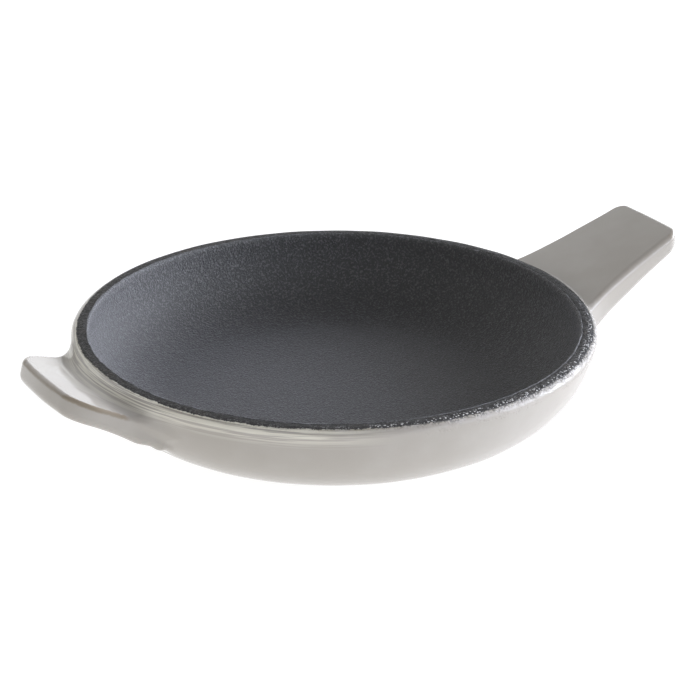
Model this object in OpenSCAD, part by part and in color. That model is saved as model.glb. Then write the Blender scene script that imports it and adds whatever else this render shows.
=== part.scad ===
// Small enamelled cast iron skillet with a short broad handle and a helper tab.
// Origin: centre of the flat base, on the surface the skillet stands on.
// +Z is up, the main handle points along +X and the helper tab along -X.
// The iron is one casting, drawn here as its three regions (bowl, handle and
// helper), and the enamel coats lie face to face on it.

/* [Bowl] */
// Diameter of the bare rim band, measured over its outer edge
rim_d = 160; // [150:1:170]
// Height of the rim's crest above the surface the skillet stands on
rim_h = 28.8; // [28:0.2:30.5]
// Radius of the flat part of the base
base_r = 50; // [48:0.5:52]
// Lean of the outer wall just under the rim, in degrees from vertical
wall_lean = 7.2; // [6:0.2:8]
// How far the straight run of the wall reaches down before it rounds in
wall_run = 18; // [17:0.5:19]
// How far the base curve reaches out before it rounds up
base_run = 14.5; // [13:0.5:15.5]

/* [Rim] */
// Width of the rounded shoulder outside the bare band
shoulder_w = 1.8; // [1.5:0.1:2]
// Height that the shoulder drops, from the rim's crest to the widest part
shoulder_drop = 2.1; // [1.9:0.1:2.3]
// Width of the bare band, its flat crest and its outer slope together
band_w = 3.5; // [3.2:0.1:3.7]
// Width of the flat crest on the inner edge of the band
crest_w = 2.1; // [1.8:0.1:2.3]
// Width of the rounded lip inside the band
lip_w = 0.5; // [0.4:0.1:0.8]

/* [Thickness] */
// Whole wall thickness at mid height, coats included
wall_t = 4.4; // [4.2:0.1:4.8]
// Whole floor thickness, coats included
floor_t = 4.6; // [4.2:0.1:5]
// Outer enamel thickness
coat = 0.4; // [0.35:0.05:0.5]
// Inner enamel thickness
coat_in = 0.35; // [0.3:0.05:0.45]

/* [Main handle] */
// Reach of the handle tip from the bowl's axis
handle_x = 121.6; // [114:0.2:130]
// Height of the top of the handle tip
handle_z = 41.2; // [40.2:0.1:42.2]
// Rise of the handle, in mm per mm
handle_rise = 0.4; // [0.38:0.01:0.42]
// Half width at the tip
handle_w = 15.9; // [14:0.1:17]
// Extra half width where the handle flares into the bowl
handle_flare = 4.2; // [3:0.1:4.6]
// Thickness at the tip, upright
handle_tip_t = 6.8; // [6.2:0.1:7.4]
// Thickness at the root, upright
handle_root_t = 11.2; // [9.4:0.1:11.6]
// Corner radius of the tip, seen from above
handle_corner = 4.5; // [3:0.5:5.5]
// Rounding of the handle's upper edges
handle_round_top = 2.2; // [1.6:0.1:2.8]
// Rounding of the handle's lower edges
handle_round_low = 2.8; // [1.8:0.1:3]

/* [Helper tab] */
// Radius of the tab's outer edge, centred on the bowl
helper_r = 99.6; // [97:0.2:102]
// Height of the top edge at the middle of the tab
helper_z = 32.0; // [31.4:0.1:32.6]
// Rise of the tab, in mm per mm
helper_rise = 0.42; // [0.38:0.01:0.44]
// Half width near the outer edge
helper_w = 21.7; // [20:0.1:23]
// Widening of the tab towards the bowl, in mm per mm
helper_taper = 0.46; // [0.38:0.01:0.48]
// Thickness at the outer edge, upright
helper_tip_t = 7.6; // [7.2:0.1:8.6]
// Thickness at the root, upright
helper_root_t = 9.5; // [9:0.1:10]
// Thickness half way along, upright
helper_mid_t = 7.4; // [7:0.1:8]
// How much the underside lifts again where the tab runs into the bowl
helper_lift = 2.2; // [1.8:0.1:2.4]
// How far the foot of the outer edge stands out past its top
helper_lean = 2.0; // [0.6:0.1:2.4]
// Corner radius of the tab, seen from above
helper_corner = 7.2; // [5:0.1:8]
// Rounding of the tab's upper edges
helper_round_top = 1.8; // [1.4:0.1:2.4]
// Rounding of the tab's lower edges
helper_round_low = 3.1; // [2:0.1:3.2]

/* [Hidden] */

rim_r = rim_d / 2;
shoulder_r = rim_r + shoulder_w;
shoulder_z = rim_h - shoulder_drop;
band_r = rim_r - band_w;
lip_r = band_r - lip_w;
crest_r = band_r + crest_w;
steps = 24;      // spans of the wall curve
round_n = 5;     // spans of each rounded corner of a handle section
eps = 0.01;

// ---- bowl profile ----
// The outer face is one cubic curve from the shoulder to the flat base.
p0 = [shoulder_r, shoulder_z];
p1 = p0 - wall_run * [sin(wall_lean), cos(wall_lean)];
p3 = [base_r, 0];
p2 = p3 + [base_run, 0];
function bez(t) = pow(1 - t, 3) * p0 + 3 * pow(1 - t, 2) * t * p1
                + 3 * (1 - t) * t * t * p2 + pow(t, 3) * p3;
function dbez(t) = 3 * pow(1 - t, 2) * (p1 - p0)
                 + 6 * (1 - t) * t * (p2 - p1) + 3 * t * t * (p3 - p2);
function inward(t) = let (d = dbez(t)) [d[1], -d[0]] / norm(d);
function wall(t, depth) = bez(t) + depth * inward(t);

// whole thickness along the wall: rim_t at the top, wall_t below, floor_t at the base
rim_t = shoulder_r - lip_r;
function thick(t) = wall_t + (rim_t - wall_t) * pow(max(0, 1 - t / 0.45), 2)
                  + (floor_t - wall_t) * pow(t, 2);

// The rim falls from its crest to the widest part of the wall on one curve,
// a little straighter than an ellipse; the bare band ends at angle band_a.
function fall(a, d) = [crest_r + (shoulder_r - crest_r - d) * pow(sin(a), 1.25),
                       shoulder_z + (shoulder_drop - d) * pow(cos(a), 1.25)];
band_a = asin(pow((rim_r - crest_r) / (shoulder_r - crest_r), 0.8));
band_fall = [for (i = [0:4]) band_a * i / 4];
coat_fall = [for (i = [0:5]) band_a + (88 - band_a) * i / 6];
outer_face = concat([for (a = coat_fall) fall(a, 0)], [for (i = [0:steps]) wall(i / steps, 0)]);
coat_back = concat([for (a = coat_fall) fall(a, coat)], [for (i = [0:steps]) wall(i / steps, coat)]);
cast_outer = concat([for (i = [0:3]) fall(band_fall[i], coat)], coat_back);
// The inner face starts below the lip, where the wall curve takes over.
lip_t0 = 0.05;
lip_end = wall(lip_t0, thick(lip_t0));
lip_end_c = wall(lip_t0, thick(lip_t0) - coat_in);
inner_face = concat(
    [for (a = [0:15:75]) [lip_end[0] + (band_r - lip_end[0]) * (1 - sin(a)),
                          lip_end[1] + (rim_h - lip_end[1]) * cos(a)]],
    [for (i = [0:steps]) let (t = lip_t0 + (1 - lip_t0) * i / steps) wall(t, thick(t))]);
cast_inner = concat(
    [for (a = [0:15:75]) [lip_end_c[0] + (band_r - lip_end_c[0]) * (1 - sin(a)),
                          lip_end_c[1] + (rim_h - coat - lip_end_c[1]) * cos(a)]],
    [for (i = [0:steps]) let (t = lip_t0 + (1 - lip_t0) * i / steps) wall(t, thick(t) - coat_in)]);
function rev(v) = [for (i = [len(v) - 1:-1:0]) v[i]];

module turned(pts) { rotate_extrude($fn = 144) polygon(pts); }

// everything inside a face of the bowl, cavity included
module filled(face, top) {
    turned(concat([[0, top], [band_r, top]], face, [[0, face[len(face) - 1][1]]]));
}

// ---- handle sections ----
// One rounded section, as [across, down]: across runs from -1 to 1 times the
// half width, down is measured from the top face.
function corner(cy, cz, r, a0) = [for (i = [0:round_n]) let (a = a0 + 90 * i / round_n)
    [cy + r * cos(a), cz + r * sin(a)]];
function section(w, t, rt, rb) = concat(
    corner(w - rt, -rt, rt, 0), corner(-w + rt, -rt, rt, 90),
    corner(-w + rb, -t + rb, rb, 180), corner(w - rb, -t + rb, rb, 270));
ring_n = 4 * (round_n + 1);

module skin(rings) {
    n = len(rings);
    polyhedron(
        points = [for (r = rings) for (p = r) p],
        faces = concat(
            [[for (j = [0:ring_n - 1]) j]],
            [for (i = [0:n - 2]) for (j = [0:ring_n - 1]) let (k = (j + 1) % ring_n)
                each [[i * ring_n + j, (i + 1) * ring_n + k, i * ring_n + k],
                      [i * ring_n + j, (i + 1) * ring_n + j, (i + 1) * ring_n + k]]],
            [[for (j = [ring_n - 1:-1:0]) (n - 1) * ring_n + j]]),
        convexity = 4);
}

// half width of the main handle at x; inside the wall it stays narrow
hx0 = shoulder_r - 3;
function hw(x) = let (q = max(x, hx0)) handle_w + 0.09 * (handle_x - q)
    + handle_flare * exp(-(q - shoulder_r) / 13.4) - 0.25 * max(0, hx0 - x);
function hz(x) = handle_z - handle_rise * (handle_x - x);
function ht(x) = handle_tip_t + (handle_root_t - handle_tip_t)
    * pow(max(0, (handle_x - max(x, hx0)) / (handle_x - shoulder_r)), 1.1);

// main handle, with its whole surface moved in by d
module handle_body(d) {
    xe = handle_x - d;
    rc = handle_corner - d;
    rv = handle_round_top - d;
    body = [for (x = [shoulder_r - 12, hx0, shoulder_r, shoulder_r + 3.2, shoulder_r + 6.4,
                      shoulder_r + 10, shoulder_r + 15, shoulder_r + 21, shoulder_r + 27,
                      handle_x - handle_corner]) [x, 0]];
    tip = [for (a = [22.5:22.5:90]) [handle_x - handle_corner + rc * sin(a), 1 - cos(a)]];
    skin([for (s = concat(body, tip))
        let (x = s[0], w = hw(x) - d - rc * s[1], t = ht(x) - 2 * d - 2 * rv * s[1],
             rt = min(handle_round_top - d, t / 2 - eps),
             rb = min(handle_round_low - d, t / 2 - eps))
        [for (p = section(w, t, rt, rb)) [x, p[0], hz(x) - d - rv * s[1] + p[1]]]]);
}

// helper tab: sections lie on cylinders round the bowl's axis, so its outer
// edge is concentric with the bowl, and its top face is a sloping plane
function gw(r) = helper_w + helper_taper * (helper_r - 2.8 - max(r, shoulder_r - 2))
    - 0.5 * max(0, shoulder_r - 2 - r);
function ease(s) = let (q = min(1, max(0, s))) q * q * (3 - 2 * q);
function gz(x) = helper_z - helper_rise * (helper_r - x);
function gt(r) = let (u = max(0, (helper_r - max(r, shoulder_r - 2)) / (helper_r - shoulder_r)))
    helper_tip_t * (1 - u) * (1 - 2 * u) + helper_mid_t * 4 * u * (1 - u)
    + helper_root_t * u * (2 * u - 1) - helper_lift * ease((u - 0.8) / 0.22);

module helper_body(d) {
    re = helper_r - d;
    rc = helper_corner - d;
    rv = helper_round_top - d;
    body = [for (r = [shoulder_r - 9, shoulder_r - 4, shoulder_r - 1, shoulder_r + 2,
                      shoulder_r + 5, shoulder_r + 8.5, helper_r - helper_corner]) [r, 0]];
    tip = [for (a = [22.5:22.5:90]) [helper_r - helper_corner + rc * sin(a), 1 - cos(a)]];
    skin([for (s = concat(body, tip))
        let (r = s[0], w = gw(r) - d - rc * s[1], t = gt(r) - 2 * d - 2 * rv * s[1],
             rt = min(helper_round_top - d, t / 2 - eps),
             rb = min(helper_round_low - d, t / 2 - eps))
        [for (p = section(w, t, rt, rb))
            let (a = asin(p[0] / r), x = r * cos(a),
                 q = r + helper_lean * max(0, 1 - (helper_r - r) / 9) * (-p[1] / gt(r)))
            [-q * cos(a), -q * sin(a), gz(x) - d - rv * s[1] + p[1]]]]);
}

// ---- the pieces ----
// iron of the bowl
module bowl_casting() {
    color([0.27, 0.27, 0.28])
        turned(concat(cast_outer, [[0, coat], [0, floor_t - coat_in]], rev(cast_inner)));
}

// iron of the main handle, joined to the bowl's wall at its root
module handle_casting() {
    color([0.27, 0.27, 0.28])
        difference() { handle_body(coat); filled(cast_outer, rim_h - coat); }
}

// iron of the helper tab, joined to the bowl's wall at its root
module helper_handle_casting() {
    color([0.27, 0.27, 0.28])
        difference() { helper_body(coat); filled(cast_outer, rim_h - coat); }
}

// pale glossy coat on the outside of the wall, open where the two handles join
module wall_enamel() {
    color([0.74, 0.72, 0.7])
        difference() {
            turned(concat(outer_face, rev(coat_back)));
            handle_body(coat);
            helper_body(coat);
        }
}

// the same coat under the flat base, which the skillet stands on
module base_enamel() {
    color([0.74, 0.72, 0.7]) cylinder(h = coat, r = base_r, $fn = 144);
}

// the same coat round the main handle
module handle_enamel() {
    color([0.74, 0.72, 0.7])
        difference() {
            handle_body(0);
            handle_body(coat);
            filled(outer_face, rim_h);
        }
}

// the same coat round the helper tab
module helper_handle_enamel() {
    color([0.74, 0.72, 0.7])
        difference() {
            helper_body(0);
            helper_body(coat);
            filled(outer_face, rim_h);
        }
}

// matte black coat inside the bowl, up to and over the rim's inner lip
module inner_enamel() {
    color([0.17, 0.17, 0.18])
        turned(concat(inner_face, [[0, floor_t], [0, floor_t - coat_in]], rev(cast_inner)));
}

// bare dark band on top of the rim, where the pale coat stops
module rim_band() {
    color([0.12, 0.11, 0.11])
        turned(concat([[band_r, rim_h - coat]], [for (a = band_fall) fall(a, coat)],
                      [for (i = [4:-1:0]) fall(band_fall[i], 0)], [[band_r, rim_h]]));
}

bowl_casting();
handle_casting();
helper_handle_casting();
wall_enamel();
base_enamel();
handle_enamel();
helper_handle_enamel();
inner_enamel();
rim_band();
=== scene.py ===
import math

import bpy
from mathutils import Matrix, Vector
import numpy as np


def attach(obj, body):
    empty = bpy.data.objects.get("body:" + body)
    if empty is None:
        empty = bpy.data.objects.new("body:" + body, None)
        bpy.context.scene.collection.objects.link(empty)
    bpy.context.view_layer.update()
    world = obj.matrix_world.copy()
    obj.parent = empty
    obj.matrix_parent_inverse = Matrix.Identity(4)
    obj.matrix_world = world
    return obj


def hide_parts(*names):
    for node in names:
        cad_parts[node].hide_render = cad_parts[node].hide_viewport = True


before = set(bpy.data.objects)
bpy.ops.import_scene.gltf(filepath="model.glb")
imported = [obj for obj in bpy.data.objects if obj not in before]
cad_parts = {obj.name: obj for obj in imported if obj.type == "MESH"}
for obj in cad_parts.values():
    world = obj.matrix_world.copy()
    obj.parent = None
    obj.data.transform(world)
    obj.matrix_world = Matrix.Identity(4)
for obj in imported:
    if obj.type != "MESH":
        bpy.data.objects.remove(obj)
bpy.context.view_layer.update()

# ------------------------------------------------------------------ geometry
# Everything in this section is in millimetres; meshes are scaled to metres.
RIM_R, RIM_H, CREST_R, BAND_R = 80.0, 28.8, 78.6, 76.5
SHOULDER_R, SHOULDER_Z = 81.8, 26.7
BASE_R, COAT, COAT_IN = 50.0, 0.4, 0.35
WALL_T, FLOOR_T, LIP_R = 4.4, 4.6, 76.0


def bezier(p0, p1, p2, p3, t):
    t = t[:, None]
    return (1 - t) ** 3 * p0 + 3 * (1 - t) ** 2 * t * p1 + 3 * (1 - t) * t * t * p2 + t ** 3 * p3


def resample(pts, step):
    s = np.concatenate([[0], np.cumsum(np.hypot(*np.diff(pts, axis=0).T))])
    n = int(round(s[-1] / step))
    q = np.linspace(0, s[-1], n + 1)
    return np.stack([np.interp(q, s, pts[:, 0]), np.interp(q, s, pts[:, 1])], -1)


def soften(pts, step, sigma):
    """Gaussian smoothing of a curve along its length; its ends are mirrored, so they stay put."""
    k = int(3 * sigma / step)
    w = np.exp(-0.5 * (np.arange(-k, k + 1) * step / sigma) ** 2)
    w /= w.sum()
    head = 2 * pts[0] - pts[k:0:-1]
    tail = 2 * pts[-1] - pts[-2:-k - 2:-1]
    p = np.vstack([head, pts, tail])
    return np.stack([np.convolve(p[:, i], w, "valid") for i in (0, 1)], -1)


LEAN = np.radians(7.2)
P0 = np.array([SHOULDER_R, SHOULDER_Z])
P1 = P0 - 18.0 * np.array([np.sin(LEAN), np.cos(LEAN)])
P3 = np.array([BASE_R, 0.0])
P2 = P3 + np.array([14.5, 0.0])
STEP = 0.05


def outer_profile():
    """From the flat of the rim, over its crest, down the wall and in along the base."""
    a = np.linspace(0, np.pi / 2, 60)
    fall = np.stack([CREST_R + (SHOULDER_R - CREST_R) * np.sin(a) ** 1.12,
                     SHOULDER_Z + (RIM_H - SHOULDER_Z) * np.cos(a) ** 1.12], -1)
    wall = bezier(P0, P1, P2, P3, np.linspace(0, 1, 400))
    pts = np.vstack([[[60.0, RIM_H], [CREST_R - 0.01, RIM_H]], fall, wall[1:], [[0.0, 0.0]]])
    pts = resample(pts, STEP)
    return soften(pts, STEP, 0.5)


def inner_profile():
    """From the rim's crest over the lip, down the inner wall and in along the floor."""
    t = np.linspace(0, 1, 400)
    c = bezier(P0, P1, P2, P3, t)
    d = np.gradient(c, axis=0)
    d /= np.hypot(d[:, 0], d[:, 1])[:, None]
    n = np.stack([d[:, 1], -d[:, 0]], -1)
    rim_t = SHOULDER_R - LIP_R
    th = WALL_T + (rim_t - WALL_T) * np.clip(1 - t / 0.45, 0, None) ** 2 + (FLOOR_T - WALL_T) * t ** 2
    w = c + n * th[:, None]
    w = w[t >= 0.05]
    e = w[0]
    a = np.linspace(0, np.pi / 2, 40)[:-1]
    lip = np.stack([e[0] + (BAND_R - e[0]) * (1 - np.sin(a)), e[1] + (RIM_H - e[1]) * np.cos(a)], -1)
    pts = np.vstack([[[BAND_R + 1.2, RIM_H]], lip, w, [[0.0, w[-1][1]]]])
    pts = resample(pts, STEP)
    return soften(pts, STEP, 0.45)


class Profile:
    """Signed distance in the (r, z) plane to one profile; positive outside the iron."""

    def __init__(self, pts):
        self.p = pts
        d = np.gradient(pts, axis=0)
        d /= np.hypot(d[:, 0], d[:, 1])[:, None]
        self.n = np.stack([-d[:, 1], d[:, 0]], -1)
        self.h = 0.5
        self.r0, self.z0 = 0.0, -4.0
        nr, nz = int(132 / self.h), int(50 / self.h)
        R, Z = np.meshgrid(self.r0 + self.h * np.arange(nr), self.z0 + self.h * np.arange(nz), indexing="ij")
        q = np.stack([R.ravel(), Z.ravel()], -1)
        sub = pts[::4]
        idx = np.empty(len(q), int)
        for i in range(0, len(q), 4096):
            b = q[i:i + 4096]
            idx[i:i + 4096] = ((b[:, None, 0] - sub[None, :, 0]) ** 2
                               + (b[:, None, 1] - sub[None, :, 1]) ** 2).argmin(1) * 4
        self.idx = idx.reshape(nr, nz)
        self.d = self.exact(R.ravel(), Z.ravel(), self.idx.ravel()).reshape(nr, nz)

    def exact(self, r, z, i0=None):
        if i0 is None:
            a = np.clip(((r - self.r0) / self.h + 0.5).astype(int), 0, self.idx.shape[0] - 1)
            b = np.clip(((z - self.z0) / self.h + 0.5).astype(int), 0, self.idx.shape[1] - 1)
            i0 = self.idx[a, b]
        n = len(self.p)
        best = i0.copy()
        for stride in (8, 4, 2, 1):
            cand = np.clip(best[:, None] + stride * np.array([-2, -1, 0, 1, 2]), 0, n - 1)
            d2 = (self.p[cand, 0] - r[:, None]) ** 2 + (self.p[cand, 1] - z[:, None]) ** 2
            best = cand[np.arange(len(r)), d2.argmin(1)]
        i = np.clip(best, 1, n - 2)
        a, b = self.p[i - 1], self.p[i + 1]
        ab = b - a
        t = np.clip(((r - a[:, 0]) * ab[:, 0] + (z - a[:, 1]) * ab[:, 1]) / (ab ** 2).sum(1), 0, 1)
        q = a + ab * t[:, None]
        nn = self.n[i - 1] * (1 - t)[:, None] + self.n[i + 1] * t[:, None]
        side = (r - q[:, 0]) * nn[:, 0] + (z - q[:, 1]) * nn[:, 1]
        dist = np.hypot(r - q[:, 0], z - q[:, 1])
        return np.where(np.abs(side) > 0.9 * dist, side, np.sign(side) * dist)

    def table(self, r, z):
        a = np.clip((r - self.r0) / self.h, 0, self.d.shape[0] - 1.001)
        b = np.clip((z - self.z0) / self.h, 0, self.d.shape[1] - 1.001)
        i, j = a.astype(int), b.astype(int)
        u, v = a - i, b - j
        D = self.d
        return ((D[i, j] * (1 - u) + D[i + 1, j] * u) * (1 - v)
                + (D[i, j + 1] * (1 - u) + D[i + 1, j + 1] * u) * v)


def rint(a, b, r):
    """Intersection of two distances with a rounded edge of radius r."""
    u, v = np.maximum(a + r, 0), np.maximum(b + r, 0)
    return np.minimum(np.maximum(a, b), -r) + np.sqrt(u * u + v * v)


def runi(a, b, r):
    """Union of two distances with a fillet of radius r."""
    u, v = np.maximum(r - a, 0), np.maximum(r - b, 0)
    return np.maximum(np.minimum(a, b), r) - np.sqrt(u * u + v * v)


H = dict(x=121.6, z=41.25, rise=0.40, w=15.9, flare=4.2, tip_t=6.8, root_t=11.2,
         corner=4.4, top=2.1, low=2.7, crown=0.25, fil_top=3.2, fil_low=5.0)
T = dict(r=99.6, z=32.0, rise=0.42, w=21.7, taper=0.46, tip_t=7.6, mid_t=7.4, root_t=9.7,
         lean=2.1, corner=6.2, top=1.6, low=3.0, fil_top=6.0, fil_low=1.5, dish=0.0)


def waves(x, y, z):
    """A slow unevenness, as a hand-finished casting and a fired coat have, from -1 to 1."""
    return (np.sin(0.21 * x + 0.13 * y + 1.3) * np.sin(0.17 * y - 0.11 * z + 0.4)
            + 0.6 * np.sin(0.33 * x - 0.29 * y + 0.2 * z + 2.1)
            + 0.5 * np.sin(0.41 * y + 0.37 * z + 0.19 * x)) / 2.1


def handle(x, y, z, h=None):
    h = h or H
    q = np.maximum(x, SHOULDER_R - 3.0)
    w = h["w"] + 0.09 * (h["x"] - q) + h["flare"] * np.exp(-(q - SHOULDER_R) / 13.4) - 0.25 * np.maximum(0, q - x)
    dw = -0.09 - h["flare"] / 13.4 * np.exp(-(q - SHOULDER_R) / 13.4)
    side = (np.abs(y) - w) / np.sqrt(1 + dw * dw)
    end = x - h["x"]
    plan = rint(side, end, h["corner"])
    u = np.clip((h["x"] - q) / (h["x"] - SHOULDER_R), 0, 1.1)
    t = h["tip_t"] + (h["root_t"] - h["tip_t"]) * u ** 1.1
    cz = 1 / np.sqrt(1 + h["rise"] ** 2)
    zt = h["z"] - h["rise"] * (h["x"] - x) - h["crown"] * (y / 18.0) ** 2
    top = (z - zt) * cz
    low = (zt - t - z) * 0.97
    return np.maximum(rint(rint(plan, top, h["top"]), low, h["low"]), 69.0 - x)


def tab(x, y, z, h=None):
    h = h or T
    r = np.hypot(x, y)
    q = np.maximum(r, SHOULDER_R - 6.0)
    w = h["w"] + h["taper"] * (h["r"] - 2.8 - np.maximum(r, 79.8)) - 0.5 * np.maximum(0, 79.8 - r)
    zt = h["z"] - h["rise"] * (h["r"] + x)
    u = np.clip((h["r"] - q) / (h["r"] - SHOULDER_R), -0.3, 1.1)
    t = (h["tip_t"] * (1 - u) * (1 - 2 * u) + h["mid_t"] * 4 * u * (1 - u) + h["root_t"] * u * (2 * u - 1))
    # the lower corners lift off towards the bowl
    t = t - 1.7 * smooth(0.80, 1.06, u) * smooth(9.0, 26.0, np.abs(y))
    dep = np.clip((zt - z) / t, -0.2, 1.2)
    side = (np.abs(y) - w) / np.sqrt(1 + h["taper"] ** 2)
    end = (r - h["r"] - h["lean"] * dep) / np.sqrt(1 + (h["lean"] / 7.5) ** 2)
    plan = rint(side, end, h["corner"])
    cz = 1 / np.sqrt(1 + h["rise"] ** 2)
    top = (z - zt) * cz
    low = (zt - t - z) * 0.95
    d = rint(rint(plan, top, h["top"]), low, h["low"])
    return np.where(x > 0, 30.0, np.maximum(d, 69.0 - r))


def smooth(a, b, x):
    t = np.clip((x - a) / (b - a), 0, 1)
    return t * t * (3 - 2 * t)


def skin_sdf(x, y, z, bowl, wave=0.0):
    """Outer face of the whole skillet: bowl, handle and tab with fillets at the roots."""
    dh, dt = handle(x, y, z), tab(x, y, z)
    # the fillet is tighter over the handles, where the rim is close above them
    zh = H["z"] - H["rise"] * (H["x"] - x)
    rh = H["fil_low"] + (H["fil_top"] - H["fil_low"]) * smooth(-6.0, -1.0, z - zh)
    zt = T["z"] - T["rise"] * (T["r"] + x)
    rt = T["fil_low"] + (T["fil_top"] - T["fil_low"]) * smooth(-6.0, -1.0, z - zt)
    d = np.where(x > 0, runi(bowl, dh, rh), runi(bowl, dt, rt))
    return d - wave * waves(x, y, z)


def surface_nets(D, origin, g):
    """Quads of the zero surface of a grid of distances, one vertex in each cell that it crosses."""
    S = D < 0
    n = np.zeros(tuple(k - 1 for k in D.shape), np.int8)
    for i in (0, 1):
        for j in (0, 1):
            for k in (0, 1):
                n += S[i:i + n.shape[0], j:j + n.shape[1], k:k + n.shape[2]]
    act = (n > 0) & (n < 8)
    idx = np.full(n.shape, -1, np.int64)
    m = int(act.sum())
    idx[act] = np.arange(m)
    acc, cnt, quads = np.zeros((m, 3)), np.zeros(m), []
    for ax in range(3):
        lo = [slice(None)] * 3
        hi = [slice(None)] * 3
        lo[ax], hi[ax] = slice(0, -1), slice(1, None)
        ch = S[tuple(lo)] != S[tuple(hi)]
        e = np.argwhere(ch)
        b, c = (ax + 1) % 3, (ax + 2) % 3
        e = e[(e[:, b] > 0) & (e[:, c] > 0) & (e[:, b] < D.shape[b] - 1) & (e[:, c] < D.shape[c] - 1)]
        f = e.copy()
        f[:, ax] += 1
        d0, d1 = D[tuple(e.T)], D[tuple(f.T)]
        pos = e.astype(float)
        pos[:, ax] += d0 / (d0 - d1)
        q = []
        for db, dc in ((-1, -1), (0, -1), (0, 0), (-1, 0)):
            k = e.copy()
            k[:, b] += db
            k[:, c] += dc
            q.append(idx[tuple(k.T)])
        q = np.stack(q, 1)
        for i in range(4):
            for a in range(3):
                acc[:, a] += np.bincount(q[:, i], pos[:, a], m)
            cnt += np.bincount(q[:, i], minlength=m)
        q[d0 > 0] = q[d0 > 0][:, ::-1]
        quads.append(q)
    return acc / np.maximum(cnt, 1)[:, None] * g + origin, np.vstack(quads)


def triangulate(V, Q):
    """Splits each quad along its shorter diagonal."""
    a = ((V[Q[:, 0]] - V[Q[:, 2]]) ** 2).sum(1)
    b = ((V[Q[:, 1]] - V[Q[:, 3]]) ** 2).sum(1)
    s = a <= b
    return np.vstack([Q[s][:, [0, 1, 2]], Q[s][:, [0, 2, 3]], Q[~s][:, [0, 1, 3]], Q[~s][:, [1, 2, 3]]])


def gradient(f, P, h=0.03):
    G = np.empty_like(P)
    for a in range(3):
        d = np.zeros(3)
        d[a] = h
        G[:, a] = (f(P + d) - f(P - d)) / (2 * h)
    return G


def project(f, P, steps=3):
    for _ in range(steps):
        G = gradient(f, P)
        P = P - (f(P) / np.maximum((G * G).sum(1), 0.05))[:, None] * G
    return P


def relax(f, V, Q, rounds=3, w=0.6):
    """Evens the mesh out along the surface and puts it back on the surface."""
    e = np.unique(np.sort(np.vstack([Q[:, [0, 1]], Q[:, [1, 2]], Q[:, [2, 3]], Q[:, [3, 0]]]), 1), axis=0)
    deg = np.bincount(e.ravel(), minlength=len(V)).astype(float)
    for _ in range(rounds):
        s = np.stack([np.bincount(e[:, 0], V[e[:, 1], a], len(V)) + np.bincount(e[:, 1], V[e[:, 0], a], len(V))
                      for a in range(3)], -1)
        d = s / np.maximum(deg, 1)[:, None] - V
        N = gradient(f, V)
        N /= np.linalg.norm(N, axis=1)[:, None]
        d -= (d * N).sum(1)[:, None] * N
        V = project(f, V + w * d, 1)
    return project(f, V, 2)


def cut(f, V, T, field, h, limit=0.3):
    """Splits triangles along field = 0. Vertices close to the line are moved onto it. Returns the sign of each vertex."""
    g = field(V)
    tri_g = g[T]
    near = T[(tri_g.min(1) < 0) & (tri_g.max(1) > 0)]
    cand = np.unique(near)
    cand = cand[np.abs(g[cand]) < limit * h]
    P = V[cand]
    P = on_line(f, field, P)
    V = V.copy()
    V[cand] = P
    sgn = np.sign(field(V)).astype(int)
    sgn[cand] = 0
    s = sgn[T]
    mixed = (s.min(1) < 0) & (s.max(1) > 0)
    keep, work = T[~mixed], T[mixed]
    mid, new, out = {}, [], []

    def point(a, b):
        k = (a, b) if a < b else (b, a)
        if k not in mid:
            mid[k] = len(V) + len(new)
            ga, gb = gv[k[0]], gv[k[1]]
            new.append(V[k[0]] + (V[k[1]] - V[k[0]]) * (ga / (ga - gb)))
        return mid[k]

    gv = field(V)
    for tri in work:
        k = sgn[tri]
        if (k == 0).any():
            r = int(np.flatnonzero(k == 0)[0])
            a, b, c = tri[r], tri[(r + 1) % 3], tri[(r + 2) % 3]
            m = point(b, c)
            out += [(a, b, m), (a, m, c)]
        else:
            r = int(np.flatnonzero(k == (1 if k.sum() < 0 else -1))[0])
            a, b, c = tri[r], tri[(r + 1) % 3], tri[(r + 2) % 3]
            m, n = point(a, b), point(a, c)
            out += [(a, m, n), (m, b, c), (m, c, n)]
    if new:
        P = on_line(f, field, np.array(new))
        V = np.vstack([V, P])
        sgn = np.concatenate([sgn, np.zeros(len(P), int)])
        keep = np.vstack([keep, np.array(out)])
    return V, keep, sgn


def on_line(f, field, P):
    for _ in range(5):
        N = gradient(f, P)
        N /= np.linalg.norm(N, axis=1)[:, None]
        G = gradient(field, P)
        G -= (G * N).sum(1)[:, None] * N
        P = P - (field(P) / np.maximum((G * G).sum(1), 0.05))[:, None] * G
        P = project(f, P, 1)
    return P


def side_of(T, sgn):
    """+1 or -1 for each triangle that cut() left."""
    s = sgn[T]
    return np.where(s.sum(1) > 0, 1, -1)


def ripple(a, terms):
    """A closed ragged line: the sum of waves round the rim, each (count, size, phase)."""
    return sum(s * np.sin(k * a + p) for k, s, p in terms)


RIM_TERMS = [(7, 0.10, 0.3), (19, 0.07, 1.9), (31, 0.06, 4.0), (53, 0.06, 2.2), (83, 0.05, 5.1), (131, 0.05, 0.9),
             (197, 0.04, 3.3), (263, 0.03, 1.1)]


def rim_line(a):
    """Radius at which the pale enamel starts."""
    return 79.98 + 0.20 * np.cos(a) - 0.08 * np.sin(a) + ripple(a, RIM_TERMS)


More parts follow.
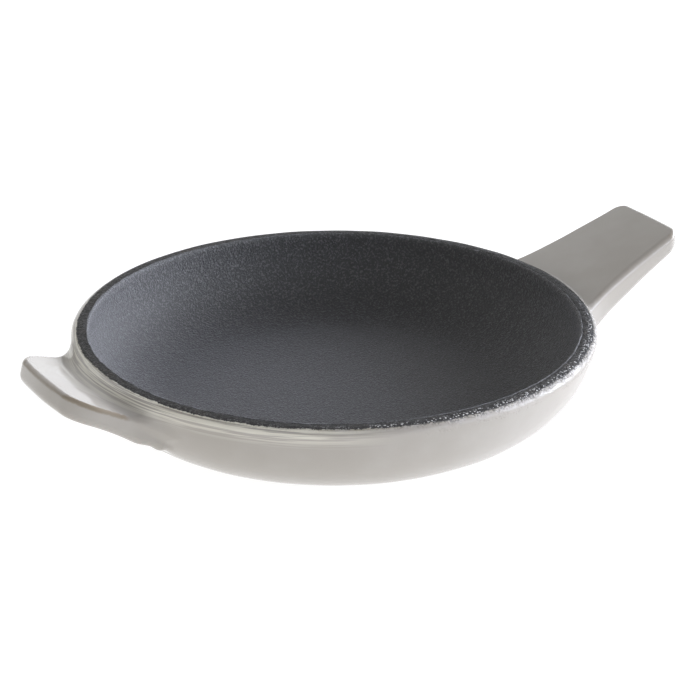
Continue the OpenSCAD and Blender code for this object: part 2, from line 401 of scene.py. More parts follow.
def build_skin(g=0.8):
    prof = Profile(outer_profile())

    def f(P):
        x, y, z = P[:, 0], P[:, 1], P[:, 2]
        return skin_sdf(x, y, z, prof.exact(np.hypot(x, y), z), 0.07 * smooth(0.5, 6.0, z))

    lo = np.array([-104.2, -84.1, -1.83])
    ax = [np.arange(lo[0], 124.5, g), np.arange(lo[1], 84.6, g), np.arange(lo[2], 43.5, g)]
    X, Y, Z = np.meshgrid(*ax, indexing="ij")
    b = prof.table(np.hypot(X, Y), Z)
    D = skin_sdf(X, Y, Z, b, 0.07 * smooth(0.5, 6.0, Z))
    V, Q = surface_nets(D, lo, g)
    # the flat top inside the rim is not needed
    r, z = np.hypot(V[:, 0], V[:, 1]), V[:, 2]
    drop = (z > 25.0) & (r < 77.5)
    Q = Q[~drop[Q].any(1)]
    u, inv = np.unique(Q, return_inverse=True)
    V, Q = V[u], inv.reshape(Q.shape)
    V = relax(f, V, Q)
    T = triangulate(V, Q)

    def g_rim(P):
        r, a = np.hypot(P[:, 0], P[:, 1]), np.arctan2(P[:, 1], P[:, 0])
        return np.where(P[:, 2] > 25.0, r - rim_line(a), 5.0)

    def g_base(P):
        return np.where(P[:, 2] < 1.0, np.hypot(P[:, 0], P[:, 1]) - BASE_R, 5.0)

    def g_seam(P):
        return 83.0 - np.hypot(P[:, 0], P[:, 1])

    V, T, s = cut(f, V, T, g_rim, g)
    T = T[side_of(T, s) > 0]
    V, T, s = cut(f, V, T, g_base, g)
    is_base = side_of(T, s) < 0
    base, T = T[is_base], T[~is_base]
    V, T, s = cut(f, V, T, g_seam, g)
    seam = side_of(T, s)
    cx = V[T].mean(1)[:, 0]
    parts = {"wall": T[seam > 0], "handle": T[(seam < 0) & (cx > 0)],
             "tab": T[(seam < 0) & (cx < 0)], "base": base}
    N = gradient(f, V)
    N /= np.linalg.norm(N, axis=1)[:, None]
    return V, N, parts


def shell(V, N, T, depth):
    """A closed coat: the face, a back at that depth, and a narrow wall along each open edge."""
    u, inv = np.unique(T, return_inverse=True)
    T = inv.reshape(T.shape)
    P, N = V[u], N[u]
    n = len(P)
    back = P - N * depth
    e = np.vstack([T[:, [0, 1]], T[:, [1, 2]], T[:, [2, 0]]])
    key = e[:, 0].astype(np.int64) * n + e[:, 1]
    rev = e[:, 1].astype(np.int64) * n + e[:, 0]
    open_e = e[~np.isin(key, rev)]
    a, b = open_e[:, 0], open_e[:, 1]
    sides = np.stack([b, a, a + n, b + n], 1)
    return np.vstack([P, back]), N, T, T[:, ::-1] + n, sides


def hash01(i, j, k, seed):
    h = (i * 374761393 + j * 668265263 + k * 2147483647 + seed * 974711) & 0xFFFFFFFF
    h = ((h ^ (h >> 13)) * 1274126177) & 0xFFFFFFFF
    h = ((h ^ (h >> 16)) * 2246822519) & 0xFFFFFFFF
    return ((h ^ (h >> 15)) & 0xFFFFFF) / float(0xFFFFFF)


def grain(P, size, seed=1):
    """Smooth value noise, from -1 to 1, with lumps of about that size."""
    q = P / size
    c = np.floor(q).astype(np.int64)
    u = q - c
    u = u * u * (3 - 2 * u)
    out = 0.0
    for a in (0, 1):
        for b in (0, 1):
            for d in (0, 1):
                w = (u[:, 0] if a else 1 - u[:, 0]) * (u[:, 1] if b else 1 - u[:, 1]) * (u[:, 2] if d else 1 - u[:, 2])
                out = out + w * hash01(c[:, 0] + a, c[:, 1] + b, c[:, 2] + d, seed)
    return 2 * out - 1


def ring_faces(a, na, b, nb):
    """Triangles between an outer ring of na points from index a and an inner ring of nb points from index b."""
    if na == nb:
        i = np.arange(na)
        j = (i + 1) % na
        return np.vstack([np.stack([a + i, a + j, b + j], 1), np.stack([a + i, b + j, b + i], 1)])
    i = np.arange(nb)
    j = (i + 1) % nb
    k0, k1, k2 = 2 * i, 2 * i + 1, (2 * i + 2) % na
    return np.vstack([np.stack([a + k0, a + k1, b + i], 1), np.stack([a + k1, b + j, b + i], 1),
                      np.stack([a + k1, a + k2, b + j], 1)])


def disc(rings):
    """Points and triangles, facing up, of rings (count, radius array or number, height array or number), outside first."""
    pts, tris, start = [], [], []
    for n, r, z in rings:
        t = 2 * np.pi * np.arange(n) / n
        start.append(sum(len(p) for p in pts))
        pts.append(np.stack([r * np.cos(t), r * np.sin(t), np.broadcast_to(z, t.shape)], -1))
    for i in range(len(rings) - 1):
        tris.append(ring_faces(start[i], rings[i][0], start[i + 1], rings[i + 1][0]))
    return np.vstack(pts), np.vstack(tris), start


def ring_count(r, top):
    for n, lim in ((top, 52.0), (top // 2, 26.0), (top // 4, 13.0), (top // 8, 6.0), (top // 16, 2.6)):
        if r > lim:
            return n
    return top // 32


def vertex_normals(V, T):
    fn = np.cross(V[T[:, 1]] - V[T[:, 0]], V[T[:, 2]] - V[T[:, 0]])
    N = np.zeros_like(V)
    for i in range(3):
        for a in range(3):
            N[:, a] += np.bincount(T[:, i], fn[:, a], len(V))
    return N / np.maximum(np.linalg.norm(N, axis=1), 1e-12)[:, None]


def build_inner():
    """The black coat inside: over the lip, down the wall and across the floor, with its pebbled face."""
    p = inner_profile()
    s = np.concatenate([[0], np.cumsum(np.hypot(*np.diff(p, axis=0).T))])
    i0 = int(np.argmax(p[:, 0] < 76.95))
    p, s = p[i0:], s[i0:] - s[i0]
    total = s[-1]

    def rings_at(step, top):
        q, out = 0.0, []
        while q < total - 0.8:
            out.append(q)
            q += step * (0.5 if q < 5.0 else 1.0)
        return [(ring_count(np.interp(x, s, p[:, 0]), top), np.interp(x, s, p[:, 0]), np.interp(x, s, p[:, 1]))
                for x in out]

    front = rings_at(0.78, 640)
    V, T, start = disc(front)
    c = len(V)
    V = np.vstack([V, [[0, 0, p[-1, 1]]]])
    n = front[-1][0]
    i = np.arange(n)
    T = np.vstack([T, np.stack([start[-1] + i, start[-1] + (i + 1) % n, np.full(n, c)], 1)])
    a = np.arctan2(V[:, 1], V[:, 0])
    N = vertex_normals(V, T)
    r = np.hypot(V[:, 0], V[:, 1])
    lip = smooth(75.3, 76.3, r) * smooth(24.0, 27.0, V[:, 2])
    d = 0.020 * grain(V, 1.7, 3) + 0.026 * grain(V, 1.0, 4) + 0.05 * grain(V, 14.0, 5)
    d = d + lip * (0.055 * grain(V, 1.3, 6) + 0.04 * grain(V, 0.8, 7))
    V = V + N * d[:, None]
    # its outer edge wanders a little where it laps onto the rim
    edge = np.arange(front[0][0])
    ea = a[edge]
    wob = ripple(ea, [(11, 0.12, 0.5), (29, 0.10, 2.0), (61, 0.08, 4.4), (97, 0.07, 1.2)])
    V[edge, 0] += wob * np.cos(ea)
    V[edge, 1] += wob * np.sin(ea)
    # its plain back
    back = rings_at(1.9, 320)
    B, TB, bs = disc(back)
    cb = len(B)
    B = np.vstack([B, [[0, 0, p[-1, 1]]]])
    nb = back[-1][0]
    i = np.arange(nb)
    TB = np.vstack([TB, np.stack([bs[-1] + i, bs[-1] + (i + 1) % nb, np.full(nb, cb)], 1)])
    NB = vertex_normals(B, TB)
    B = B - NB * 0.33
    k = len(V)
    seam = ring_faces(0, front[0][0], k, back[0][0])
    return np.vstack([V, B]), T, np.vstack([TB[:, ::-1] + k, seam[:, ::-1]])


def build_rim():
    """The bare, rough top of the rim between the two coats."""
    o = outer_profile()
    k = int(np.argmax(o[:, 0] > 81.0))
    n, m = 1500, 15
    t = 2 * np.pi * np.arange(n) / n
    line = rim_line(t) + 0.38
    V, T = [], []
    for j in range(m):
        rr = line + (76.6 - line) * j / (m - 1)
        z = np.interp(rr, o[:k, 0], o[:k, 1])
        P = np.stack([rr * np.cos(t), rr * np.sin(t), z], -1)
        fade = smooth(76.7, 77.3, rr) * (1 - 0.6 * smooth(79.4, 80.0, rr))
        d = 0.10 * grain(P, 1.25, 11) + 0.085 * grain(P, 0.62, 12) + 0.05 * grain(P, 5.0, 13)
        P[:, 2] += -0.10 - 0.14 * (1 - smooth(76.8, 77.3, rr)) + d * fade
        V.append(P)
        if j:
            T.append(ring_faces((j - 1) * n, n, j * n, n))
    V = np.vstack(V)
    T = np.vstack(T)
    c = len(V)
    B = V.copy()
    B[:, 2] -= 0.34
    side_a = ring_faces(0, n, c, n)[:, ::-1]
    a0 = (m - 1) * n
    side_b = ring_faces(a0, n, c + a0, n)
    return np.vstack([V, B]), T, np.vstack([T[:, ::-1] + c, side_a, side_b])


def bend(V, h=0.7):
    """Twice the mean curvature of the outer face, per millimetre: high on edges, below 0 in hollows."""
    prof = Profile(outer_profile())

    def f(P):
        x, y, z = P[:, 0], P[:, 1], P[:, 2]
        return skin_sdf(x, y, z, prof.exact(np.hypot(x, y), z), 0.0)

    s = -6 * f(V)
    for a in range(3):
        d = np.zeros(3)
        d[a] = h
        s = s + f(V + d) + f(V - d)
    return s / h ** 2


# ------------------------------------------------------------------ meshes
MM = 0.001


def to_object(name, V, faces, N=None, smooth_count=None, attrs=None):
    """A mesh object in metres from points in mm. With N, the first smooth_count triangles take those normals."""
    tri = [f for f in faces if f.shape[1] == 3]
    quad = [f for f in faces if f.shape[1] == 4]
    F3 = np.vstack(tri)
    F4 = np.vstack(quad) if quad else np.zeros((0, 4), int)
    me = bpy.data.meshes.new(name)
    me.vertices.add(len(V))
    me.vertices.foreach_set("co", (V * MM).astype(np.float32).ravel())
    loops = np.concatenate([F3.ravel(), F4.ravel()]).astype(np.int32)
    me.loops.add(len(loops))
    me.loops.foreach_set("vertex_index", loops)
    me.polygons.add(len(F3) + len(F4))
    me.polygons.foreach_set("loop_start", np.concatenate(
        [np.arange(len(F3)) * 3, len(F3) * 3 + np.arange(len(F4)) * 4]).astype(np.int32))
    me.polygons.foreach_set("use_smooth", np.ones(len(F3) + len(F4), bool))
    me.update(calc_edges=True)
    for key, val in (attrs or {}).items():
        a = me.attributes.new(key, "FLOAT", "POINT")
        a.data.foreach_set("value", val.astype(np.float32))
    if N is not None:
        # the face keeps its own exact normals; the back and the edge take plain ones
        loop_n = np.zeros((len(loops), 3), np.float32)
        k = smooth_count * 3
        loop_n[:k] = N[loops[:k]]
        rest = loops[k:len(F3) * 3]
        loop_n[k:len(F3) * 3] = -N[rest - len(N)]
        if len(F4):
            q = V[F4]
            fn = np.cross(q[:, 2] - q[:, 0], q[:, 3] - q[:, 1])
            fn /= np.maximum(np.linalg.norm(fn, axis=1), 1e-12)[:, None]
            loop_n[len(F3) * 3:] = np.repeat(fn, 4, axis=0)
        me.normals_split_custom_set([tuple(v) for v in loop_n.tolist()])
    else:
        me.set_sharp_from_angle(angle=math.radians(62))
    ob = bpy.data.objects.new(name, me)
    bpy.context.scene.collection.objects.link(ob)
    return ob


# ------------------------------------------------------------------ materials
class Nodes:
    """A small helper to write a node tree in few lines."""

    def __init__(self, name):
        self.mat = bpy.data.materials.new(name)
        self.mat.use_nodes = True
        self.t = self.mat.node_tree
        self.t.nodes.clear()
        self.out = self.t.nodes.new("ShaderNodeOutputMaterial")
        self.bsdf = self.t.nodes.new("ShaderNodeBsdfPrincipled")
        self.t.links.new(self.bsdf.outputs[0], self.out.inputs[0])
        self.co = self.t.nodes.new("ShaderNodeTexCoord").outputs["Object"]

    def link(self, a, b):
        if isinstance(a, (int, float)):
            b.default_value = a
        elif isinstance(a, tuple):
            b.default_value = (*a, 1.0) if len(a) == 3 and b.type == "RGBA" else a
        else:
            self.t.links.new(a, b)

    def noise(self, scale, detail=2.0, rough=0.5, distort=0.0, co=None):
        n = self.t.nodes.new("ShaderNodeTexNoise")
        n.inputs["Scale"].default_value = scale
        n.inputs["Detail"].default_value = detail
        n.inputs["Roughness"].default_value = rough
        n.inputs["Distortion"].default_value = distort
        self.t.links.new(co or self.co, n.inputs["Vector"])
        return n.outputs["Fac"]

    def voronoi(self, scale, feature="F1", rand=1.0, out="Distance"):
        n = self.t.nodes.new("ShaderNodeTexVoronoi")
        n.feature = feature
        n.inputs["Scale"].default_value = scale
        n.inputs["Randomness"].default_value = rand
        self.t.links.new(self.co, n.inputs["Vector"])
        return n.outputs[out]

    def math(self, op, a, b=0.0, c=0.0, clamp=False):
        n = self.t.nodes.new("ShaderNodeMath")
        n.operation = op
        n.use_clamp = clamp
        for i, v in enumerate((a, b, c)):
            self.link(v, n.inputs[i])
        return n.outputs[0]

    def span(self, v, a, b, lo=0.0, hi=1.0, kind="SMOOTHSTEP"):
        n = self.t.nodes.new("ShaderNodeMapRange")
        n.interpolation_type = kind
        self.link(v, n.inputs["Value"])
        for k, x in zip(("From Min", "From Max", "To Min", "To Max"), (a, b, lo, hi)):
            n.inputs[k].default_value = x
        return n.outputs["Result"]

    def mix(self, f, a, b):
        n = self.t.nodes.new("ShaderNodeMix")
        n.data_type = "RGBA"
        self.link(f, n.inputs["Factor"])
        self.link(a, n.inputs["A"] if False else n.inputs[6])
        self.link(b, n.inputs[7])
        return n.outputs[2]

    def attr(self, name):
        n = self.t.nodes.new("ShaderNodeAttribute")
        n.attribute_name = name
        return n.outputs["Fac"]

    def axis(self, i):
        n = self.t.nodes.new("ShaderNodeSeparateXYZ")
        self.t.links.new(self.co, n.inputs[0])
        return n.outputs[i]

    def bump(self, h, dist, strength=1.0, normal=None):
        n = self.t.nodes.new("ShaderNodeBump")
        n.inputs["Distance"].default_value = dist
        n.inputs["Strength"].default_value = strength
        self.t.links.new(h, n.inputs["Height"])
        if normal is not None:
            self.t.links.new(normal, n.inputs["Normal"])
        return n.outputs[0]

    def set(self, **kw):
        for k, v in kw.items():
            self.link(v, self.bsdf.inputs[k.replace("_", " ")])


def glaze(name, edges=1.0):
    """Pale greige glossy enamel that thins to brown on the sharpest edges and frays where it meets the rim, with pale
    streaks by the tab that are partly a painted highlight.
    """
    m = Nodes(name)
    slow = m.noise(38.0, 3.0, 0.55)
    cloud = m.noise(140.0, 3.0, 0.6)
    fine = m.noise(1700.0, 3.0, 0.7)
    base = m.mix(m.span(slow, 0.35, 0.65), (0.385, 0.357, 0.322), (0.415, 0.390, 0.358))
    base = m.mix(m.span(cloud, 0.30, 0.75, 0.0, 0.35), base, (0.372, 0.352, 0.312))
    # firing specks, few and small
    speck = m.voronoi(420.0)
    gate = m.noise(90.0, 1.0)
    speck = m.math("MULTIPLY", m.span(speck, 0.07, 0.13, 1.0, 0.0), m.span(gate, 0.64, 0.70))
    base = m.mix(m.math("MULTIPLY", speck, 0.35), base, (0.19, 0.16, 0.12))
    # thin on edges
    bend_a = m.attr("bend")
    wob = m.math("ADD", bend_a, m.span(m.noise(190.0, 3.0, 0.65), 0.0, 1.0, -0.22, 0.22, "LINEAR"))
    thin = m.math("MULTIPLY", m.span(wob, 0.36, 0.86), m.attr("browning"))
    base = m.mix(m.math("MULTIPLY", thin, edges, clamp=True), base, (0.245, 0.195, 0.130))
    # the frayed edge at the rim: dark iron shows through within a few tenths of a millimetre
    e = m.attr("rim_mm")
    fray = m.math("ADD", m.math("MULTIPLY", m.noise(1300.0, 3.0, 0.7), 0.85), m.math("MULTIPLY", m.noise(3600.0, 2.0, 0.6), 0.45))
    fray = m.math("SUBTRACT", fray, 0.46)
    dark = m.span(m.math("SUBTRACT", e, m.math("MULTIPLY", fray, m.attr("fray"))), -0.05, 0.10, 1.0, 0.0)
    halo = m.math("MULTIPLY", m.span(e, 0.1, 1.1, 1.0, 0.0), m.span(cloud, 0.35, 0.6))
    base = m.mix(m.math("MULTIPLY", halo, m.attr("tint")), base, (0.350, 0.315, 0.205))
    # pale cream streaks down the shoulder by the tab: partly the glaze's own colour, partly a painted highlight of a
    # light behind on the left
    run = m.t.nodes.new("ShaderNodeCombineXYZ")
    m.link(m.math("MULTIPLY", m.attr("around"), 2.2), run.inputs[0])
    m.link(m.math("MULTIPLY", m.attr("below"), 1.35), run.inputs[1])
    cream_streak_and_highlight = m.span(m.noise(1.0, 3.0, 0.6, 0.0, run.outputs[0]), 0.44, 0.54)
    cream_streak_and_highlight = m.math("MULTIPLY", cream_streak_and_highlight, m.span(m.attr("below"), 1.6, 7.5, 1.0, 0.0))
    cream_streak_and_highlight = m.math("MULTIPLY", cream_streak_and_highlight, m.span(m.attr("tint"), 0.30, 0.60))
    base = m.mix(m.math("MULTIPLY", cream_streak_and_highlight, 0.92), base, (0.74, 0.715, 0.620))
    base = m.mix(dark, base, (0.024, 0.022, 0.020))
    rough = m.span(m.noise(60.0, 3.0, 0.6), 0.3, 0.7, 0.035, 0.06, "LINEAR")
    rough = m.math("ADD", rough, m.math("MULTIPLY", dark, 0.38))
    rough = m.math("ADD", rough, m.math("MULTIPLY", thin, 0.06))
    # close to the rim the glaze is crumbly, most of all where it frays most
    crumb = m.math("MULTIPLY", m.span(e, 0.6, 2.2, 1.0, 0.0), m.attr("crumble"))
    pits = m.math("MULTIPLY", m.span(m.noise(1350.0, 2.0, 0.6), 0.44, 0.52, 1.0, 0.0), m.span(e, 0.3, 1.5, 1.0, 0.0))
    pits = m.math("MULTIPLY", pits, m.math("MULTIPLY", m.attr("crumble"), 0.80))
    base = m.mix(pits, base, (0.115, 0.110, 0.105))
    crumb = m.math("MULTIPLY", crumb, m.span(m.noise(260.0, 3.0, 0.65), 0.38, 0.60, 0.25, 1.0))
    peel = m.math("MULTIPLY", m.noise(330.0, 2.0, 0.5), 1.0)
    peel = m.math("ADD", peel, m.math("MULTIPLY", m.math("SUBTRACT", fine, 0.5), m.math("ADD", m.math("MULTIPLY", crumb, 20.0), 0.05)))
    lump = m.noise(750.0, 2.0, 0.6)
    peel = m.math("ADD", peel, m.math("MULTIPLY", m.math("SUBTRACT", lump, 0.5), m.math("MULTIPLY", crumb, 32.0)))
    peel = m.math("SUBTRACT", peel, m.math("MULTIPLY", dark, 1.5))
    nb = m.bump(peel, 0.000030, 1.0)
    rough = m.math("ADD", rough, m.math("MULTIPLY", crumb, 0.16))
    m.set(Base_Color=base, Roughness=rough, Normal=nb, IOR=1.52)
    m.bsdf.inputs["Specular IOR Level"].default_value = 0.5
    return m.mat


def black_coat(name):
    """Satin black inner enamel: a pebbled, slightly mottled matte glass."""
    m = Nodes(name)
    slow = m.noise(45.0, 3.0, 0.6)
    mott = m.noise(1500.0, 2.5, 0.65)
    mott2 = m.noise(520.0, 2.0, 0.6)
    base = m.mix(m.span(slow, 0.3, 0.7), (0.0190, 0.0188, 0.0189), (0.0235, 0.0230, 0.0230))
    base = m.mix(m.span(mott, 0.52, 0.62, 0.0, 0.85), base, (0.094, 0.094, 0.096))
    base = m.mix(m.span(mott2, 0.55, 0.30, 0.0, 0.35), base, (0.022, 0.022, 0.023))
    rough = m.span(mott, 0.25, 0.75, 0.72, 0.56, "LINEAR")
    rough = m.math("ADD", rough, m.span(slow, 0.3, 0.7, -0.02, 0.03, "LINEAR"))
    h = m.math("ADD", m.math("MULTIPLY", mott, 1.0), m.math("MULTIPLY", mott2, 0.5))
    h = m.math("ADD", h, m.math("MULTIPLY", m.noise(2600.0, 2.0, 0.6), 0.30))
    nb = m.bump(h, 0.00050, 1.0)
    m.set(Base_Color=base, Roughness=rough, Normal=nb, IOR=1.78)
    m.bsdf.inputs["Specular IOR Level"].default_value = 0.5
    m.bsdf.inputs["Sheen Weight"].default_value = 0.26
    m.bsdf.inputs["Sheen Roughness"].default_value = 0.4
    m.bsdf.inputs["Sheen Tint"].default_value = (0.90, 0.91, 1.0, 1.0)
    return m.mat


def rim_finish(name):
    """The top of the rim: dark, rough, with a few pale crumbs of enamel that are partly painted glints, and small
    bright grains.
    """
    m = Nodes(name)
    a = m.noise(1900.0, 3.0, 0.75)
    b = m.noise(480.0, 3.0, 0.65)
    base = m.mix(m.span(b, 0.35, 0.70), (0.010, 0.009, 0.008), (0.019, 0.0175, 0.016))
    base = m.mix(m.span(a, 0.55, 0.70, 0.0, 0.75), base, (0.070, 0.064, 0.058))
    # rusty warmth in patches
    base = m.mix(m.span(m.noise(70.0, 3.0, 0.6), 0.55, 0.70, 0.0, 0.4), base, (0.055, 0.040, 0.026))
    # pale flecks: partly crumbs of enamel, partly painted glints of the light from the right on the rough rim
    crumb = m.math("MULTIPLY", m.span(m.voronoi(1250.0), 0.30, 0.40, 1.0, 0.0), m.span(m.noise(460.0, 3.0, 0.7), 0.40, 0.50))
    crumb = m.math("MULTIPLY", crumb, m.attr("outer"))
    base = m.mix(crumb, base, (0.66, 0.655, 0.64))
    rough = m.span(a, 0.3, 0.7, 0.75, 0.45, "LINEAR")
    h = m.math("ADD", m.math("MULTIPLY", a, 1.0), b)
    nb = m.bump(h, 0.00030, 1.0)
    m.set(Base_Color=base, Roughness=rough, Normal=nb, IOR=1.5)
    return m.mat


def raw_iron(name):
    """Sand-cast grey iron, as it is under the enamel."""
    m = Nodes(name)
    a = m.noise(900.0, 4.0, 0.65)
    b = m.noise(120.0, 3.0, 0.6)
    base = m.mix(m.span(b, 0.35, 0.7), (0.060, 0.056, 0.052), (0.105, 0.095, 0.085))
    base = m.mix(m.span(a, 0.55, 0.8, 0.0, 0.5), base, (0.16, 0.13, 0.10))
    rough = m.span(a, 0.3, 0.7, 0.75, 0.52, "LINEAR")
    nb = m.bump(m.math("ADD", a, b), 0.00018, 1.0)
    m.set(Base_Color=base, Roughness=rough, Normal=nb, Metallic=0.55)
    return m.mat


# ------------------------------------------------------------------ build
V, N, parts = build_skin(0.8)
B = bend(V)
RR, AA = np.hypot(V[:, 0], V[:, 1]), np.arctan2(V[:, 1], V[:, 0])
rim_mm = np.where(V[:, 2] > 25.0, np.clip(RR - rim_line(AA), 0, 4), 4.0)
# the glaze breaks browner on the small tab than on the long handle, and least on the rim
far_tab, far_handle = smooth(82.5, 85.0, -V[:, 0]), smooth(82.5, 88.0, V[:, 0])
brown = 0.10 + 0.62 * far_tab + 0.34 * far_handle
# on both, only the upper edge browns
tab_top = T["z"] - T["rise"] * (T["r"] + V[:, 0])
hand_top = H["z"] - H["rise"] * (H["x"] - V[:, 0])
brown = brown * np.where(V[:, 0] < 0, smooth(-4.5, -2.8, V[:, 2] - tab_top), smooth(-3.6, -2.4, V[:, 2] - hand_top))
# the enamel edge is most ragged on the side of the pan nearest the tab and between it and the handle
fray = 0.50 + 0.75 * smooth(-0.1, 0.9, np.cos(AA + math.radians(62))) + 0.30 * smooth(0.2, 0.9, np.cos(AA - math.radians(180)))
# its edge is yellowest by the tab
crumble = 0.22 + 0.95 * smooth(0.55, 0.95, np.cos(AA + math.radians(60)))
below = (28.8 - V[:, 2]) + 0.5 * (RR - 80.0)
around = np.arctan2(V[:, 1], -V[:, 0])
# where the yellowish halo and the pale streaks go, strongest by the tab; the streaks are partly a painted highlight
tint = 0.20 + 0.45 * smooth(0.3, 0.95, np.cos(AA - math.radians(195)))

mats = {"glaze": glaze("greige_enamel"), "black": black_coat("black_satin_enamel"),
        "rim": rim_finish("bare_rim"), "iron": raw_iron("grey_cast_iron")}
pieces = {}
for key, name, node in (("wall", "wall_glaze", "wall_enamel"), ("base", "base_glaze", "base_enamel"),
                        ("handle", "handle_glaze", "handle_enamel"), ("tab", "helper_handle_glaze", "helper_handle_enamel")):
    F = parts[key]
    u = np.unique(F)
    P, n, face, back, sides = shell(V, N, F, 0.34)
    at = {k: np.concatenate([v[u], v[u]]) for k, v in
          (("bend", B), ("browning", brown), ("rim_mm", rim_mm), ("fray", fray), ("tint", tint), ("below", below), ("crumble", crumble),
           ("around", around))}
    ob = to_object(name, P, [face, back, sides], n, len(face), at)
    ob.data.materials.append(mats["glaze"])
    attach(ob, "root")
    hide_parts(node)
    pieces[key] = ob

P, face, rest = build_inner()
ob = to_object("inner_black_enamel", P, [face, rest])
ob.data.materials.append(mats["black"])
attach(ob, "root")
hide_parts("inner_enamel")

P, face, rest = build_rim()
rr = np.hypot(P[:, 0], P[:, 1])
# the pale crumbs, partly painted glints, lie on its outer half, thickest between the tab and the handle on the near
# side, where the light from the right falls
ra = np.arctan2(P[:, 1], P[:, 0])
outer = smooth(77.6, 79.4, rr) * (0.12 + 0.88 * smooth(0.55, 0.92, np.cos(ra + math.radians(72))))
ob = to_object("rim_bare_band", P, [face, rest], attrs={"outer": outer})
ob.data.materials.append(mats["rim"])
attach(ob, "root")
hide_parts("rim_band")

for node in ("bowl_casting", "handle_casting", "helper_handle_casting"):
    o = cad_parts[node]
    if not o.material_slots:
        o.data.materials.append(mats["iron"])
    for s in o.material_slots:
        s.material = mats["iron"]

# ------------------------------------------------------------------ studio
floor_me = bpy.data.meshes.new("studio_floor")
k = 48
ang = 2 * np.pi * np.arange(k) / k
ring = [(6.0 * math.cos(t), 6.0 * math.sin(t), 0.0) for t in ang]
floor_me.from_pydata(ring, [], [list(range(k))])
floor = bpy.data.objects.new("studio_floor", floor_me)
bpy.context.scene.collection.objects.link(floor)
fm = Nodes("pale_floor")
fm.set(Base_Color=fm.mix(fm.noise(3.0, 2.0), (0.29, 0.29, 0.29), (0.31, 0.31, 0.31)), Roughness=0.9)
fm.bsdf.inputs["Specular IOR Level"].default_value = 0.0
fm.bsdf.inputs["Emission Color"].default_value = (1.0, 1.0, 1.0, 1.0)
fm.bsdf.inputs["Emission Strength"].default_value = 0.88
floor_me.materials.append(fm.mat)

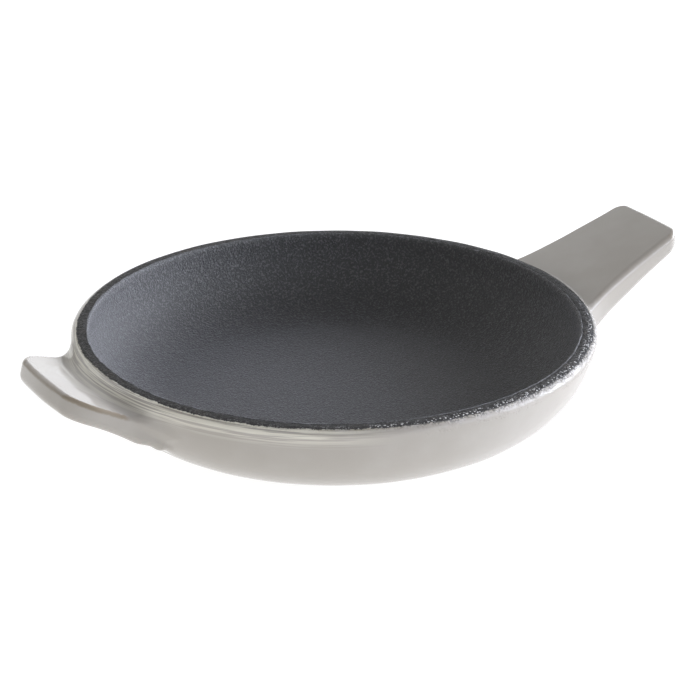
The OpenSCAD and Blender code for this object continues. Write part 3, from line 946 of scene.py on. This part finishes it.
def studio_world(low, mid, top, lobes=(), tint=(1.0, 1.0, 1.0), horizon=1.0):
    """A plain soft surround. low and mid are its brightness every 45 degrees round, near the horizon and at 35 degrees up.
    The table's far edge is a narrow bright band, horizon, and lobes are soft lights of colour tint."""
    world = bpy.data.worlds.new("studio")
    bpy.context.scene.world = world
    world.use_nodes = True
    t = world.node_tree
    bg = t.nodes["Background"]
    full = max(max(low), max(mid), top, 1e-6)
    geo = t.nodes.new("ShaderNodeTexCoord")
    sep = t.nodes.new("ShaderNodeSeparateXYZ")
    t.links.new(geo.outputs["Generated"], sep.inputs[0])

    def m(op, a, b=0.0, clamp=False):
        n = t.nodes.new("ShaderNodeMath")
        n.operation = op
        n.use_clamp = clamp
        for i, v in enumerate((a, b)):
            if isinstance(v, (int, float)):
                n.inputs[i].default_value = v
            else:
                t.links.new(v, n.inputs[i])
        return n.outputs[0]

    az = m("ADD", m("DIVIDE", m("ARCTAN2", sep.outputs[1], sep.outputs[0]), 2 * math.pi), 0.5)
    el = m("MULTIPLY", m("ARCSINE", sep.outputs[2]), 180 / math.pi)

    def ramp(values):
        # az 0.5 is azimuth 0, so the list is turned by half its length
        n = t.nodes.new("ShaderNodeValToRGB")
        r = n.color_ramp
        r.interpolation = "LINEAR"
        while len(r.elements) < 9:
            r.elements.new(0.5)
        for i in range(9):
            v = values[(i + 4) % 8] / full
            r.elements[i].position = i / 8
            r.elements[i].color = (v, v, v, 1)
        t.links.new(az, n.inputs[0])
        return n.outputs[0]

    a = m("DIVIDE", m("SUBTRACT", el, 8.0), 27.0, clamp=True)
    b = m("DIVIDE", m("SUBTRACT", el, 35.0), 40.0, clamp=True)
    wl = m("SUBTRACT", 1.0, a)
    wm = m("SUBTRACT", a, b)
    s = m("ADD", m("ADD", m("MULTIPLY", ramp(low), wl), m("MULTIPLY", ramp(mid), wm)), m("MULTIPLY", b, top / full))
    s = m("MULTIPLY", s, full)
    # it stands taller behind the pan
    behind = m("ADD", m("MULTIPLY", sep.outputs[0], math.cos(math.radians(57))), m("MULTIPLY", sep.outputs[1], math.sin(math.radians(57))))
    high = m("MULTIPLY", m("DIVIDE", m("SUBTRACT", behind, 0.80), 0.06, clamp=True), 6.0)
    edge = m("DIVIDE", m("SUBTRACT", m("ADD", high, 4.0), el), 1.5, clamp=True)
    s = m("ADD", m("MULTIPLY", s, m("SUBTRACT", 1.0, edge)), m("MULTIPLY", edge, horizon))
    key = 0.0
    for a_deg, e_deg, sharp, power in lobes:
        a_r, e_r = math.radians(a_deg), math.radians(e_deg)
        d = (math.cos(e_r) * math.cos(a_r), math.cos(e_r) * math.sin(a_r), math.sin(e_r))
        dot = m("ADD", m("ADD", m("MULTIPLY", sep.outputs[0], d[0]), m("MULTIPLY", sep.outputs[1], d[1])),
                m("MULTIPLY", sep.outputs[2], d[2]), clamp=True)
        key = m("ADD", key, m("MULTIPLY", m("POWER", dot, sharp), power))
    # colour = plain surround + tinted key, channel by channel
    col = t.nodes.new("ShaderNodeCombineColor")
    for i in range(3):
        t.links.new(m("ADD", s, m("MULTIPLY", key, tint[i])), col.inputs[i])
    t.links.new(col.outputs[0], bg.inputs["Color"])
    bg.inputs["Strength"].default_value = 1.0
    return world


LOW = [0.85, 0.30, 0.38, 0.92, 1.60, 0.35, 0.08, 0.55]
MID = [1.00, 0.15, 1.55, 0.35, 0.75, 0.26, 0.10, 0.95]
ZENITH = 0.15
# one large soft light low on the right, as the sum of a few round ones
KEY = [(-90, 12, 60, 0.8), (-72, 14, 60, 5.6), (-50, 14, 60, 5.0), (-32, 11, 60, 6.0), (-14, 10, 60, 14.0),
       (-14, 21, 60, 7.5), (5, 10, 60, 12.0), (5, 22, 60, 6.5), (24, 8, 60, 5.2), (43, 8, 60, 1.0)]
# and a narrow strip light behind on the left, which draws the fine lights on the tab's root
STRIP = [(a, 27, 150, 0.25) for a in (118, 130, 142, 154)]
studio_world(LOW, MID, ZENITH, KEY + STRIP, (0.93, 0.98, 1.12), 1.15)

cam = bpy.data.cameras.new("camera")
cam.sensor_width = 36.0
cam.lens = 131.327
cam.clip_start, cam.clip_end = 0.01, 50.0
co = bpy.data.objects.new("camera", cam)
right, up, fwd = Vector((0.86223, -0.50653, 0.0)), Vector((0.19975, 0.34002, 0.91898)), Vector((0.46548, 0.79236, -0.39435))
rot = Matrix((right, up, -fwd)).transposed().to_4x4()
co.matrix_world = Matrix.Translation(Vector((-0.36773, -0.63561, 0.33368))) @ rot
bpy.context.scene.collection.objects.link(co)
bpy.context.scene.camera = co

vs = bpy.context.scene.view_settings
vs.view_transform = "Standard"
vs.look = "None"
vs.exposure = 0.0
vs.gamma = 1.0
